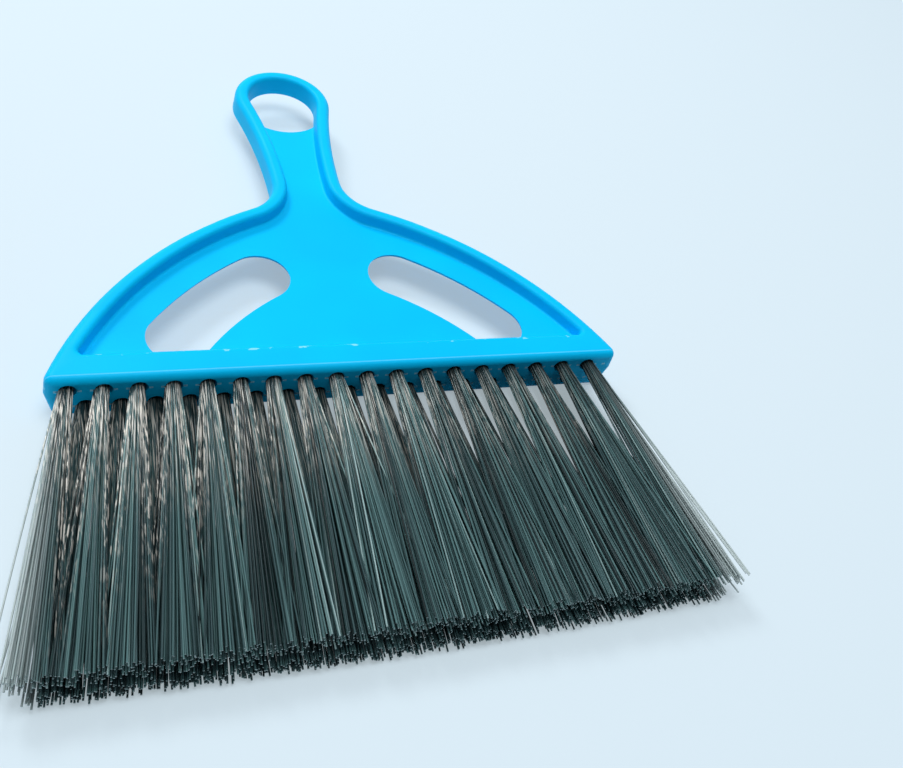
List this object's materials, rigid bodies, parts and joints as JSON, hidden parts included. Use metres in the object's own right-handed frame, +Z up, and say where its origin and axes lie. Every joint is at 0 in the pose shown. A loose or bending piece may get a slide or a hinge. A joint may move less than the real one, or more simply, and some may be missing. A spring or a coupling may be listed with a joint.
{
  "type": "hand broom",
  "caption": "Small hand broom: one moulded plastic head and handle in one, with curved windows and a hanging hole, and two staggered rows of straight filament tufts.",
  "frame": {"origin": "middle of the broom's footprint, on the plane under the head's base and the bristles", "axes": "+X along the head to the right, +Y from the bristle tips to the handle's end, +Z up, out of the moulding's recessed top"},
  "size_m": [0.193, 0.2236, 0.015],
  "materials": {
    "body": "glossy moulded polypropylene",
    "bristles": "translucent drawn filament",
    "anchor_wire": "drawn flat wire"
  },
  "bodies": {
    "root": {"broom_body": "body", "upper_anchors": "anchor_wire", "lower_anchors": "anchor_wire", "upper_tuft_01": "bristles", "upper_tuft_02": "bristles", "upper_tuft_03": "bristles", "upper_tuft_04": "bristles", "upper_tuft_05": "bristles", "upper_tuft_06": "bristles", "upper_tuft_07": "bristles", "upper_tuft_08": "bristles", "upper_tuft_09": "bristles", "upper_tuft_10": "bristles", "upper_tuft_11": "bristles", "upper_tuft_12": "bristles", "upper_tuft_13": "bristles", "upper_tuft_14": "bristles", "upper_tuft_15": "bristles", "upper_tuft_16": "bristles", "upper_tuft_17": "bristles", "upper_tuft_18": "bristles", "lower_tuft_01": "bristles", "lower_tuft_02": "bristles", "lower_tuft_03": "bristles", "lower_tuft_04": "bristles", "lower_tuft_05": "bristles", "lower_tuft_06": "bristles", "lower_tuft_07": "bristles", "lower_tuft_08": "bristles", "lower_tuft_09": "bristles", "lower_tuft_10": "bristles", "lower_tuft_11": "bristles", "lower_tuft_12": "bristles", "lower_tuft_13": "bristles", "lower_tuft_14": "bristles", "lower_tuft_15": "bristles", "lower_tuft_16": "bristles", "lower_tuft_17": "bristles"}
  },
  "joints": []
}
